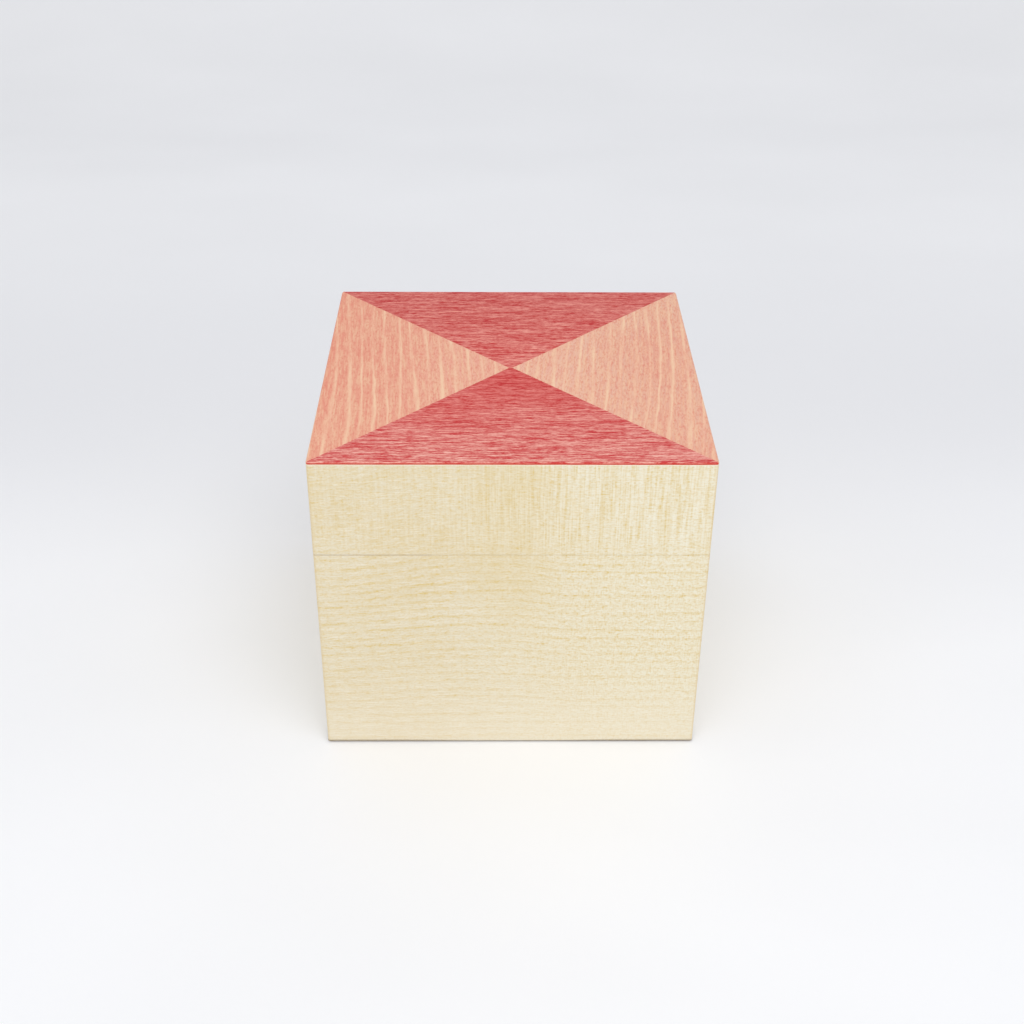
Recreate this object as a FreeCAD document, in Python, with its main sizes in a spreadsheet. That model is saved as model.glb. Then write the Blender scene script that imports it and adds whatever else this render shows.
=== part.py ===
# Square wooden puzzle box with a captive sliding lid and two loose lock pins.
# Millimetres. The origin is the middle of the underside, +Z is up and the front faces -Y.
# At rest the lid is shut and both pins lie back in the lid, so the lid is free to slide to +X.
import FreeCAD, Part
import os
import Sketcher
from enum import IntEnum

SIZES = {
    # Outside of the box
    "box_width": 90.0,
    "box_depth": 90.0,
    "box_height": 80.4,
    "lid_height": 24.4,
    "seam_gap": 0.05,
    "corner_round": 0.6,
    "foot_bevel": 0.5,
    "seam_bevel": 0.06,
    # Mitred walls, and the panels let into their rebates
    "wall_thickness": 7.0,
    "bottom_thickness": 4.0,
    "bottom_lap": 3.5,
    "top_thickness": 5.0,
    "top_lap": 3.5,
    "panel_clearance": 0.1,
    # Loose tongues across the mitres
    "spline_thickness": 1.5,
    "spline_width": 4.0,
    "spline_margin": 3.0,
    "glue_gap": 0.05,
    # Veneer on the lid
    "veneer_thickness": 0.6,
    "veneer_bevel": 0.25,
    "veneer_neck": 0.8,
    # Runner blocks under the lid, their loose tongues, and the grooves in the walls
    "lid_travel": 50.0,
    "runner_clearance": 0.2,
    "runner_width": 20.0,
    "runner_drop": 11.0,
    "groove_drop": 5.5,
    "groove_height": 3.4,
    "groove_depth": 3.0,
    "tongue_seat": 4.0,
    "tongue_clearance": 0.15,
    "tongue_end_clearance": 0.3,
    # Dowels
    "dowel_diameter": 4.0,
    "dowel_wall_depth": 4.5,
    "dowel_block_depth": 8.0,
    "dowel_end_clearance": 0.3,
    "runner_dowel_rise": 10.0,
    "runner_dowel_margin": 5.0,
    "keeper_dowel_spacing": 18.0,
    "keeper_dowel_rise": 3.7,
    # Lock pins and the bushes that hold them in the runner blocks
    "pin_drop": 6.0,
    "pin_travel": 7.0,
    "pin_head_diameter": 6.0,
    "pin_head_length": 3.0,
    "pin_shank_diameter": 4.0,
    "pin_tip_bevel": 0.4,
    "pin_clearance": 0.15,
    "pin_end_play": 0.1,
    "pin_setback": 0.4,
    "bush_diameter": 8.0,
    "bush_length": 3.0,
    "bush_clearance": 0.03,
    # Keeper on the left wall
    "keeper_width": 14.0,
    "keeper_height": 15.0,
    "keeper_gap": 0.8,
    "keeper_top_gap": 0.85,
    "keeper_slot_clearance": 0.5,
}

# Levels and places worked out from the sizes
LID_LOW = "(sizes.box_height - sizes.lid_height)"
LID_HIGH = "(sizes.box_height - sizes.veneer_thickness)"
BODY_HIGH = f"({LID_LOW} - sizes.seam_gap)"
LID_WALL = "(sizes.wall_thickness + sizes.runner_clearance)"
TOP_LOW = f"({LID_HIGH} - sizes.top_thickness)"
GROOVE_HIGH = f"({BODY_HIGH} - sizes.groove_drop)"
GROOVE_LOW = f"({GROOVE_HIGH} - sizes.groove_height)"
RUNNER_LOW = f"({LID_LOW} - sizes.runner_drop)"
RUNNER_LEFT = f"({LID_WALL} - sizes.box_width / 2)"
RUNNER_LENGTH = f"(sizes.box_width - 2 * {LID_WALL} - sizes.lid_travel)"
RUNNER_RIGHT = f"({RUNNER_LEFT} + {RUNNER_LENGTH})"
RUNNER_OUTER = f"(sizes.box_depth / 2 - {LID_WALL})"
RUNNER_INNER = f"({RUNNER_OUTER} - sizes.runner_width)"
TONGUE_LOW = f"({GROOVE_LOW} + sizes.tongue_clearance)"
TONGUE_HIGH = f"({GROOVE_HIGH} - sizes.tongue_clearance)"
TONGUE_SEAT = f"({RUNNER_OUTER} - sizes.tongue_seat)"
GROOVE_FLOOR = "(sizes.box_depth / 2 - sizes.wall_thickness + sizes.groove_depth)"
TONGUE_END = f"({GROOVE_FLOOR} - sizes.tongue_end_clearance)"
PIN_LEVEL = f"({LID_LOW} - sizes.pin_drop)"
PIN_BORE = "(sizes.pin_head_diameter / 2 + sizes.pin_clearance)"
BORE_DEPTH = "(sizes.bush_length + sizes.pin_travel + sizes.pin_head_length + 2 * sizes.pin_end_play)"
BUSH_SEAT = "(sizes.bush_diameter / 2 + sizes.bush_clearance)"
KEEPER_LEFT = "(sizes.wall_thickness - sizes.box_width / 2)"
KEEPER_RIGHT = f"({KEEPER_LEFT} + sizes.keeper_width)"
KEEPER_END = f"({RUNNER_INNER} - sizes.keeper_gap)"
KEEPER_HIGH = f"({BODY_HIGH} - sizes.keeper_top_gap)"
KEEPER_LOW = f"({KEEPER_HIGH} - sizes.keeper_height)"
KEEPER_DOWEL_LEVEL = f"({KEEPER_LOW} + sizes.keeper_dowel_rise)"
PIN_MIDDLE = f"({KEEPER_LEFT} + sizes.keeper_width / 2)"
SLOT_REACH = "(sizes.pin_shank_diameter / 2 + sizes.keeper_slot_clearance)"
SLOT_LOW = f"({PIN_LEVEL} - {SLOT_REACH})"
RUNNER_DOWEL_LEVEL = f"({LID_LOW} + sizes.runner_dowel_rise)"
SOCKET_RADIUS = "(sizes.dowel_diameter / 2 + sizes.glue_gap)"
DOWEL_LENGTH = "(sizes.dowel_wall_depth + sizes.dowel_block_depth - 2 * sizes.dowel_end_clearance)"
# The lowest and highest points of the slots across the mitres
BODY_SPLINES = ("(sizes.bottom_thickness + sizes.spline_margin)", f"({GROOVE_LOW} - sizes.spline_margin)")
LID_SPLINES = (f"({LID_LOW} + sizes.spline_margin)", f"({TOP_LOW} - sizes.spline_margin)")

# The sizes along and across each side of the box. Each side is a quarter turn on from the one before.
SIDES = {
    "front": ("sizes.box_width", "sizes.box_depth"),
    "right": ("sizes.box_depth", "sizes.box_width"),
    "back": ("sizes.box_width", "sizes.box_depth"),
    "left": ("sizes.box_depth", "sizes.box_width"),
}
# The two ways along an axis from the middle, as they stand in an expression
ENDS = ("-1", "1")
# The front and back pieces of the lock: the way along Y that each lies from the middle
LOCK_SIDES = {"front": "-1", "back": "1"}

UP = FreeCAD.Vector(0, 0, 1)
SAME_PLACE = 1e-6

doc = FreeCAD.newDocument("puzzle_box")


class SketchPoint(IntEnum):
    """The numbers by which a sketch knows the points of an edge."""

    START = 1
    END = 2
    CENTRE = 3


def fill_sheet():
    """Put the driving sizes in a sheet, each under its own alias."""
    sheet = doc.addObject("Spreadsheet::Sheet", "sizes")
    for row, (alias, size) in enumerate(SIZES.items(), start=1):
        sheet.set(f"A{row}", alias)
        sheet.set(f"B{row}", str(size))
        sheet.setAlias(f"B{row}", alias)
    doc.recompute()
    return sheet


def value(expression):
    """The number that an expression on the sheet gives now."""
    return float(sizes.evalExpression(expression))


def side_turn(side):
    """Degrees from the front of the box round to one of its sides."""
    return 360 * list(SIDES).index(side) / len(SIDES)


def new_body(label, turn=0):
    """A body of the model, turned about the vertical axis by a number of degrees."""
    body = doc.addObject("PartDesign::Body", label)
    body.Label = label
    body.Placement = FreeCAD.Placement(FreeCAD.Vector(), FreeCAD.Rotation(UP, turn))
    return body


def new_sketch(body, role, offset="0"):
    """A sketch on one of the body's origin planes, moved along the plane's normal by offset."""
    sketch = body.newObject("Sketcher::SketchObject", f"{body.Name}_sketch")
    plane = next(item for item in body.Origin.OriginFeatures if item.Role == role)
    sketch.AttachmentSupport = [(plane, "")]
    sketch.MapMode = "FlatFace"
    sketch.setExpression("AttachmentOffset.Base.z", offset)
    return sketch


def dimension(sketch, kind, geometry, point, expression):
    """Place a point of the sketch from its origin, which is the start of the sketch's own X axis."""
    x_axis = -1
    limit = Sketcher.Constraint(kind, x_axis, SketchPoint.START, geometry, point, value(expression))
    number = sketch.addConstraint(limit)
    sketch.setExpression(f"Constraints[{number}]", expression)


def draw_outline(sketch, corners, arcs=None):
    """A closed outline through corners, anticlockwise; arcs holds the middle of each edge that is an arc."""
    arcs = arcs or {}
    first = sketch.GeometryCount
    points = [FreeCAD.Vector(value(x), value(y), 0) for x, y in corners]
    for index, start in enumerate(points):
        end = points[(index + 1) % len(points)]
        if index in arcs:
            middle = FreeCAD.Vector(*(value(place) for place in arcs[index]), 0)
            circle = Part.Circle(middle, UP, (start - middle).Length)
            edge = Part.ArcOfCircle(circle, circle.parameter(start), circle.parameter(end))
        else:
            edge = Part.LineSegment(start, end)
        sketch.addGeometry(edge)
    for index, (x, y) in enumerate(corners):
        edge = first + index
        before = first + (index - 1) % len(corners)
        ends = (before, SketchPoint.END, edge, SketchPoint.START)
        sketch.addConstraint(Sketcher.Constraint("Coincident", *ends))
        dimension(sketch, "DistanceX", edge, SketchPoint.START, x)
        dimension(sketch, "DistanceY", edge, SketchPoint.START, y)
        if index in arcs:
            dimension(sketch, "DistanceX", edge, SketchPoint.CENTRE, arcs[index][0])


def draw_circle(sketch, x, y, radius):
    """A circle with its middle at x, y."""
    middle = FreeCAD.Vector(value(x), value(y), 0)
    circle = sketch.addGeometry(Part.Circle(middle, UP, value(radius)))
    dimension(sketch, "DistanceX", circle, SketchPoint.CENTRE, x)
    dimension(sketch, "DistanceY", circle, SketchPoint.CENTRE, y)
    number = sketch.addConstraint(Sketcher.Constraint("Radius", circle, value(radius)))
    sketch.setExpression(f"Constraints[{number}]", radius)


def rectangle(left, right, low, high):
    """The corners of an upright rectangle, anticlockwise."""
    return [(left, low), (right, low), (right, high), (left, high)]


def pad(body, sketch, length, side="One side"):
    """Add the sketch's area along its normal."""
    feature = body.newObject("PartDesign::Pad", f"{body.Name}_pad")
    feature.Profile = sketch
    feature.setExpression("Length", length)
    feature.SideType = side
    doc.recompute()
    return feature


def cut(body, sketch, length, reverse=False):
    """Cut the sketch's area out of the body, and stop if the cut misses it."""
    before = body.Shape.Volume
    feature = body.newObject("PartDesign::Pocket", f"{body.Name}_cut")
    feature.Profile = sketch
    feature.setExpression("Length", length)
    feature.Reversed = reverse
    doc.recompute()
    if not body.Shape.Volume < before:
        raise RuntimeError(f"{feature.Name} cuts nothing")
    return feature


def turn_solid(body, sketch):
    """Turn the sketch's area about the sketch's upright axis."""
    feature = body.newObject("PartDesign::Revolution", f"{body.Name}_turned")
    feature.Profile = sketch
    feature.ReferenceAxis = (sketch, ["V_Axis"])
    feature.Angle = 360
    doc.recompute()
    return feature


def plan_outline(run, across, inner_corners):
    """Plan of a piece along the front, with the box's rounded corners at both ends of its outer edge."""
    face = f"-{across} / 2"
    flat_end = f"({run} / 2 - sizes.corner_round)"
    trim = "sizes.corner_round * (1 - sqrt(0.5))"
    mitre_end = f"({run} / 2 - {trim})"
    corners = [
        (f"-{mitre_end}", f"{face} + {trim}"),
        (f"-{flat_end}", face),
        (flat_end, face),
        (mitre_end, f"{face} + {trim}"),
    ]
    middle = f"{face} + sizes.corner_round"
    arcs = {0: (f"-{flat_end}", middle), 2: (flat_end, middle)}
    return corners + inner_corners, arcs


def across_mitre(x_way, y_way, wall, width, depth, slack):
    """Corners of the slot, or of the loose tongue in it, across the mitre at one corner of the box."""
    x_middle = f"{x_way} * ({width} - {wall}) / 2"
    y_middle = f"{y_way} * ({depth} - {wall}) / 2"
    reach = f"(sizes.spline_width / 2 - {slack})"
    half = f"(sizes.spline_thickness / 2 - {slack})"
    slope = f"{x_way} * {y_way}"
    corners = []
    for along, over in ((1, 1), (-1, 1), (-1, -1), (1, -1)):
        x = f"{x_middle} + sqrt(0.5) * ({along} * {reach} + {over} * {half})"
        y = f"{y_middle} + sqrt(0.5) * {slope} * ({over} * {half} - {along} * {reach})"
        corners.append((x, y))
    return corners


def mitred_board(label, side, wall, section, splines):
    """A moulded strip along one side of the box, mitred at both ends and slotted for the loose tongues."""
    spline_low, spline_high = splines
    run, across = SIDES[side]
    body = new_body(label, side_turn(side))
    sketch = new_sketch(body, "YZ_Plane")
    draw_outline(sketch, section)
    pad(body, sketch, run, "Symmetric")
    inner = [
        (f"{run} / 2 - {wall}", f"{wall} - {across} / 2"),
        (f"{wall} - {run} / 2", f"{wall} - {across} / 2"),
    ]
    sketch = new_sketch(body, "XY_Plane")
    draw_outline(sketch, *plan_outline(run, across, inner))
    draw_outline(sketch, rectangle(f"-{run}", run, f"-{across}", across))
    cut(body, sketch, "sizes.box_height", reverse=True)
    sketch = new_sketch(body, "XY_Plane", spline_low)
    for end in ENDS:
        draw_outline(sketch, across_mitre(end, LOCK_SIDES["front"], wall, run, across, "0"))
    cut(body, sketch, f"{spline_high} - {spline_low}", reverse=True)
    return body


def wall_section(side):
    """Section of a body wall, with the rebate for the bottom and, at front and back, the runner groove."""
    _, across = SIDES[side]
    face = f"-{across} / 2"
    inner = f"{face} + sizes.wall_thickness"
    groove = f"{inner} - sizes.groove_depth"
    section = [
        (f"{face} + sizes.foot_bevel", "0"),
        (f"{inner} - sizes.bottom_lap", "0"),
        (f"{inner} - sizes.bottom_lap", "sizes.bottom_thickness"),
        (inner, "sizes.bottom_thickness"),
    ]
    if side in LOCK_SIDES:
        section += [(inner, GROOVE_LOW), (groove, GROOVE_LOW)]
        section += [(groove, GROOVE_HIGH), (inner, GROOVE_HIGH)]
    section += [
        (inner, BODY_HIGH),
        (f"{face} + sizes.seam_bevel", BODY_HIGH),
        (face, f"{BODY_HIGH} - sizes.seam_bevel"),
        (face, "sizes.foot_bevel"),
    ]
    return section


def rail_section(side):
    """Section of a lid rail, with the rebate for the top panel."""
    _, across = SIDES[side]
    face = f"-{across} / 2"
    inner = f"{face} + {LID_WALL}"
    return [
        (f"{face} + sizes.seam_bevel", LID_LOW),
        (inner, LID_LOW),
        (inner, TOP_LOW),
        (f"{inner} - sizes.top_lap", TOP_LOW),
        (f"{inner} - sizes.top_lap", LID_HIGH),
        (face, LID_HIGH),
        (face, f"{LID_LOW} + sizes.seam_bevel"),
    ]


def dowel_sockets(body, face, middles, level, depth, toward_front):
    """Sockets along Y, sunk into the upright face that lies the distance face in front of the middle."""
    sketch = new_sketch(body, "XZ_Plane", face)
    for middle in middles:
        draw_circle(sketch, middle, level, SOCKET_RADIUS)
    cut(body, sketch, depth, reverse=toward_front)


def runner_dowel_middles(way="1"):
    """Places of one runner block's dowels along the box, as seen from the front or from the back."""
    margin = "sizes.runner_dowel_margin"
    return [f"{way} * ({RUNNER_LEFT} + {margin})", f"{way} * ({RUNNER_RIGHT} - {margin})"]


def make_walls():
    """The four walls of the body, and the sockets of the keeper's dowels in the left one."""
    walls = {}
    thickness = "sizes.wall_thickness"
    for side in SIDES:
        section = wall_section(side)
        walls[side] = mitred_board(f"body_{side}_wall", side, thickness, section, BODY_SPLINES)
    inner_face = f"sizes.box_width / 2 - {thickness}"
    middles = [f"{end} * sizes.keeper_dowel_spacing / 2" for end in ENDS]
    depth = "sizes.dowel_wall_depth"
    dowel_sockets(walls["left"], inner_face, middles, KEEPER_DOWEL_LEVEL, depth, True)
    return list(walls.values())


def make_rails():
    """The four rails of the lid, and the sockets of the runner blocks' dowels."""
    rails = {}
    for side in SIDES:
        section = rail_section(side)
        rails[side] = mitred_board(f"lid_{side}_rail", side, LID_WALL, section, LID_SPLINES)
    depth = "sizes.dowel_wall_depth"
    for side, way in LOCK_SIDES.items():
        middles = runner_dowel_middles(f"-({way})")
        dowel_sockets(rails[side], RUNNER_OUTER, middles, RUNNER_DOWEL_LEVEL, depth, True)
    return list(rails.values())


def make_splines(label, wall, splines):
    """The four loose tongues across the mitres of the body or of the lid."""
    low, high = splines
    slack = "sizes.glue_gap"
    body = new_body(label)
    sketch = new_sketch(body, "XY_Plane", f"{low} + {slack}")
    for x_way in ENDS:
        for y_way in ENDS:
            corners = across_mitre(x_way, y_way, wall, "sizes.box_width", "sizes.box_depth", slack)
            draw_outline(sketch, corners)
    pad(body, sketch, f"{high} - {low} - 2 * {slack}")
    return body


def make_panel(label, wall, lap, low, thickness):
    """A flat panel in the rebate of the walls or of the rails."""
    half_width = f"(sizes.box_width / 2 - {wall} + {lap} - sizes.panel_clearance)"
    half_depth = f"(sizes.box_depth / 2 - {wall} + {lap} - sizes.panel_clearance)"
    body = new_body(label)
    sketch = new_sketch(body, "XY_Plane", low)
    draw_outline(sketch, rectangle(f"-{half_width}", half_width, f"-{half_depth}", half_depth))
    pad(body, sketch, thickness)
    return body


def make_veneer(side):
    """One triangle of the veneered top. The front and back ones meet in a short neck at the middle."""
    run, across = SIDES[side]
    body = new_body(f"veneer_{side}", side_turn(side))
    if side in LOCK_SIDES:
        tip = [("sizes.veneer_neck / 2", "0"), ("-sizes.veneer_neck / 2", "0")]
    else:
        tip = [("0", "-sizes.veneer_neck / 2")]
    sketch = new_sketch(body, "XY_Plane", LID_HIGH)
    draw_outline(sketch, *plan_outline(run, across, tip))
    sheet_pad = pad(body, sketch, "sizes.veneer_thickness")
    top = value("sizes.box_height")
    outer_band = value(f"sizes.corner_round - {across} / 2")
    edges = []
    for number, edge in enumerate(sheet_pad.Shape.Edges, start=1):
        points = [vertex.Point for vertex in edge.Vertexes]
        if all(abs(point.z - top) < SAME_PLACE and point.y < outer_band for point in points):
            edges.append(f"Edge{number}")
    bevel = body.newObject("PartDesign::Chamfer", f"{body.Name}_bevel")
    bevel.Base = (sheet_pad, edges)
    bevel.setExpression("Size", "sizes.veneer_bevel")
    doc.recompute()
    return body


def runner_strip(label, side, section):
    """A strip as long as a runner block, from a section drawn for the back of the box."""
    way = LOCK_SIDES[side]
    body = new_body(label)
    sketch = new_sketch(body, "YZ_Plane", RUNNER_LEFT)
    draw_outline(sketch, [(f"{way} * ({y})", z) for y, z in section])
    pad(body, sketch, RUNNER_LENGTH)
    return body


def make_runner(side):
    """A runner block, with the seat of its tongue, its stepped pin bore and its dowel sockets."""
    seat_low = f"{TONGUE_LOW} - sizes.glue_gap"
    seat_high = f"{TONGUE_HIGH} + sizes.glue_gap"
    section = [
        (RUNNER_INNER, RUNNER_LOW),
        (RUNNER_OUTER, RUNNER_LOW),
        (RUNNER_OUTER, seat_low),
        (TONGUE_SEAT, seat_low),
        (TONGUE_SEAT, seat_high),
        (RUNNER_OUTER, seat_high),
        (RUNNER_OUTER, TOP_LOW),
        (RUNNER_INNER, TOP_LOW),
    ]
    body = runner_strip(f"runner_block_{side}", side, section)
    toward_front = f"-({LOCK_SIDES[side]})"
    in_front = side == "front"
    for radius, depth in ((PIN_BORE, BORE_DEPTH), (BUSH_SEAT, "sizes.bush_length")):
        sketch = new_sketch(body, "XZ_Plane", f"{toward_front} * {RUNNER_INNER}")
        draw_circle(sketch, PIN_MIDDLE, PIN_LEVEL, radius)
        cut(body, sketch, depth, reverse=in_front)
    face = f"{toward_front} * {RUNNER_OUTER}"
    depth = "sizes.dowel_block_depth"
    dowel_sockets(body, face, runner_dowel_middles(), RUNNER_DOWEL_LEVEL, depth, not in_front)
    return body


def make_tongue(side):
    """The loose tongue of a runner block, which runs in the groove of the wall."""
    section = rectangle(f"{TONGUE_SEAT} + sizes.glue_gap", TONGUE_END, TONGUE_LOW, TONGUE_HIGH)
    return runner_strip(f"runner_tongue_{side}", side, section)


def place_on_pin_axis(body, side):
    """Put a turned piece on its pin's axis, with its outer end away from the middle of the box."""
    body.Placement = FreeCAD.Placement(FreeCAD.Vector(), FreeCAD.Rotation(UP, side_turn(side)))
    body.setExpression("Placement.Base.x", PIN_MIDDLE)
    body.setExpression("Placement.Base.z", PIN_LEVEL)


def make_pin(side):
    """A headed lock pin, at rest with its head at the blind end of its bore."""
    body = new_body(f"lock_pin_{side}")
    back = f"({BORE_DEPTH} + {RUNNER_INNER} - sizes.pin_end_play)"
    shoulder = f"({back} - sizes.pin_head_length)"
    tip = f"({RUNNER_INNER} + sizes.pin_setback)"
    head = "sizes.pin_head_diameter / 2"
    shank = "sizes.pin_shank_diameter / 2"
    sketch = new_sketch(body, "XY_Plane")
    profile = [
        ("0", f"-{back}"),
        (f"{head} - sizes.pin_tip_bevel", f"-{back}"),
        (head, f"sizes.pin_tip_bevel - {back}"),
        (head, f"-{shoulder}"),
        (shank, f"-{shoulder}"),
        (shank, f"-{tip} - sizes.pin_tip_bevel"),
        (f"{shank} - sizes.pin_tip_bevel", f"-{tip}"),
        ("0", f"-{tip}"),
    ]
    draw_outline(sketch, profile)
    turn_solid(body, sketch)
    place_on_pin_axis(body, side)
    return body


def make_bush(side):
    """The bush in the mouth of a pin bore."""
    body = new_body(f"pin_bush_{side}")
    hole = "sizes.pin_shank_diameter / 2 + sizes.pin_clearance"
    outer_end = f"-({RUNNER_INNER} + sizes.bush_length)"
    sketch = new_sketch(body, "XY_Plane")
    draw_outline(sketch, rectangle(hole, "sizes.bush_diameter / 2", outer_end, f"-{RUNNER_INNER}"))
    turn_solid(body, sketch)
    place_on_pin_axis(body, side)
    return body


def keeper_strip(label, left, right, low, high):
    """One of the strips that the keeper is glued up from."""
    body = new_body(label)
    sketch = new_sketch(body, "XZ_Plane")
    draw_outline(sketch, rectangle(left, right, low, high))
    pad(body, sketch, f"2 * {KEEPER_END}", "Symmetric")
    return body


def make_keeper():
    """The keeper: a base dowelled to the left wall, and on it two cheeks with the pins' slot between them."""
    base = keeper_strip("keeper_base", KEEPER_LEFT, KEEPER_RIGHT, KEEPER_LOW, SLOT_LOW)
    sketch = new_sketch(base, "YZ_Plane", KEEPER_LEFT)
    for end in ENDS:
        draw_circle(sketch, f"{end} * sizes.keeper_dowel_spacing / 2", KEEPER_DOWEL_LEVEL, SOCKET_RADIUS)
    cut(base, sketch, "sizes.dowel_block_depth", reverse=True)
    slot_left = f"{PIN_MIDDLE} - {SLOT_REACH}"
    slot_right = f"{PIN_MIDDLE} + {SLOT_REACH}"
    wall_cheek = keeper_strip("keeper_wall_cheek", KEEPER_LEFT, slot_left, SLOT_LOW, KEEPER_HIGH)
    inner_cheek = keeper_strip("keeper_inner_cheek", slot_right, KEEPER_RIGHT, SLOT_LOW, KEEPER_HIGH)
    return [base, wall_cheek, inner_cheek]


def make_dowels(label, places, rotation):
    """A set of equal dowels, each from a place of its own along one direction."""
    dowels = []
    for place in places:
        dowel = doc.addObject("Part::Cylinder", f"{label}_dowel")
        dowel.setExpression("Radius", "sizes.dowel_diameter / 2")
        dowel.setExpression("Height", DOWEL_LENGTH)
        dowel.Placement = FreeCAD.Placement(FreeCAD.Vector(), rotation)
        for axis, expression in zip("xyz", place):
            dowel.setExpression(f"Placement.Base.{axis}", expression)
        dowels.append(dowel)
    group = doc.addObject("Part::Compound", label)
    group.Label = label
    group.Links = dowels
    return group


def make_keeper_dowels():
    """The dowels from the left wall into the base of the keeper."""
    start = f"{KEEPER_LEFT} - sizes.dowel_wall_depth + sizes.dowel_end_clearance"
    places = [(start, f"{end} * sizes.keeper_dowel_spacing / 2", KEEPER_DOWEL_LEVEL) for end in ENDS]
    return make_dowels("keeper_dowels", places, FreeCAD.Rotation(FreeCAD.Vector(0, 1, 0), 90))


def make_runner_dowels():
    """The dowels from the lid's front and back rails into the runner blocks."""
    starts = {
        "front": f"-({RUNNER_OUTER} + sizes.dowel_wall_depth - sizes.dowel_end_clearance)",
        "back": f"{RUNNER_OUTER} - sizes.dowel_block_depth + sizes.dowel_end_clearance",
    }
    places = []
    for side in LOCK_SIDES:
        places += [(middle, starts[side], RUNNER_DOWEL_LEVEL) for middle in runner_dowel_middles()]
    return make_dowels("runner_dowels", places, FreeCAD.Rotation(FreeCAD.Vector(1, 0, 0), -90))


def make_pieces():
    """Every piece of the box, each the object that its file is written from."""
    wall = "sizes.wall_thickness"
    pieces = make_walls() + make_rails()
    pieces.append(make_splines("body_corner_splines", wall, BODY_SPLINES))
    pieces.append(make_splines("lid_corner_splines", LID_WALL, LID_SPLINES))
    pieces.append(make_panel("bottom_panel", wall, "sizes.bottom_lap", "0", "sizes.bottom_thickness"))
    pieces.append(make_panel("lid_top_panel", LID_WALL, "sizes.top_lap", TOP_LOW, "sizes.top_thickness"))
    pieces += [make_veneer(side) for side in SIDES]
    for side in LOCK_SIDES:
        pieces += [make_runner(side), make_tongue(side), make_bush(side), make_pin(side)]
    pieces += make_keeper()
    pieces += [make_keeper_dowels(), make_runner_dowels()]
    return pieces


def check_model(pieces):
    """Stop if any object of the document failed, or a piece has no sound shape."""
    failed = [item.Name for item in doc.Objects if {"Invalid", "Error"} & set(item.State)]
    for piece in pieces:
        if piece.Shape.isNull() or not piece.Shape.isValid() or not piece.Shape.Solids:
            failed.append(piece.Label)
    if failed:
        raise RuntimeError("failed: " + ", ".join(failed))


sizes = fill_sheet()
all_pieces = make_pieces()
doc.recompute()
check_model(all_pieces)
os.makedirs("parts", exist_ok=True)
for piece in all_pieces:
    piece.Shape.exportStep(f"parts/{piece.Label}.step")
    print(f"{piece.Label}: {len(piece.Shape.Solids)} solids, {piece.Shape.Volume:.1f} mm3")
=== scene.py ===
import math
from types import SimpleNamespace

import bmesh
import bpy
from mathutils import Matrix, Vector


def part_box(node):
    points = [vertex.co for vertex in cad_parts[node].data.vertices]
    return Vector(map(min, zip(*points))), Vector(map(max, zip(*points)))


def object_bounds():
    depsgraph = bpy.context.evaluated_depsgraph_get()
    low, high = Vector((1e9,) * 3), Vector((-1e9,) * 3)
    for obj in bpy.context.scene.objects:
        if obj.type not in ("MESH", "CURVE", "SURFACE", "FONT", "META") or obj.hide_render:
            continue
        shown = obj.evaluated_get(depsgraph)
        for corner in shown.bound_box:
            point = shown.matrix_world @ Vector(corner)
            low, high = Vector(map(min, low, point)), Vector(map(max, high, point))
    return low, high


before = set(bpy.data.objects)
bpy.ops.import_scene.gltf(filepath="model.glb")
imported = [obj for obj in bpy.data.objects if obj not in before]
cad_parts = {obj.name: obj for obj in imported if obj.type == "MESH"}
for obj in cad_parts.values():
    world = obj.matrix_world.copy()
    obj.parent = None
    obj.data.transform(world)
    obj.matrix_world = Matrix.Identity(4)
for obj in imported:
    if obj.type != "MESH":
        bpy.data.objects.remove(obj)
cad_low, cad_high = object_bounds()

# Finishes read Object coordinates in metres and work in millimetres
MM = 1000.0
HALF_WIDTH = cad_high.x * MM
BOX_HEIGHT = cad_high.z * MM
SEAM_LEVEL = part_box("lid_front_rail")[0].z * MM


def srgb(red, green, blue):
    """A linear colour from screen values of 0 to 255, by the sRGB curve."""
    linear = []
    for part in (red, green, blue):
        share = part / 255
        linear.append(share / 12.92 if share <= 0.04045 else ((share + 0.055) / 1.055) ** 2.4)
    return (*linear, 1.0)


# Node helpers

def feed(tree, socket, given):
    """Set a socket to a value, or link it from another node's socket."""
    if isinstance(given, bpy.types.NodeSocket):
        tree.links.new(given, socket)
    else:
        socket.default_value = given


def add(tree, kind, inputs=None, **settings):
    """Add a node. Inputs are values, or sockets of other nodes to link from."""
    made = tree.nodes.new(kind)
    for name, setting in settings.items():
        setattr(made, name, setting)
    for name, given in (inputs or {}).items():
        feed(tree, made.inputs[name], given)
    return made


def calc(tree, operation, *terms, clamp=False):
    """A Math node's result."""
    made = add(tree, "ShaderNodeMath", dict(enumerate(terms)), operation=operation, use_clamp=clamp)
    return made.outputs[0]


def times(tree, first, *factors):
    """The product of several values."""
    product = first
    for factor in factors:
        product = calc(tree, "MULTIPLY", product, factor)
    return product


def weigh(tree, *pairs):
    """The sum of masks, each times its weight."""
    total = 0.0
    for mask, weight in pairs:
        total = calc(tree, "MULTIPLY_ADD", mask, weight, total)
    return total


def at_least(tree, mask, least):
    """A mask that is raised so that it runs from a least value to 1."""
    return calc(tree, "MULTIPLY_ADD", mask, 1.0 - least, least)


def ramp(tree, value, span, results=(0.0, 1.0), smooth=True):
    """A value mapped from a span to two results, and held past the span's ends."""
    inputs = {"Value": value, "From Min": span[0], "From Max": span[1],
              "To Min": results[0], "To Max": results[1]}
    kind = "SMOOTHSTEP" if smooth else "LINEAR"
    return add(tree, "ShaderNodeMapRange", inputs, interpolation_type=kind).outputs[0]


def blend(tree, factor, first, second):
    """Two colours mixed by a factor."""
    inputs = {0: factor, 6: first, 7: second}
    return add(tree, "ShaderNodeMix", inputs, data_type="RGBA").outputs[2]


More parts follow.
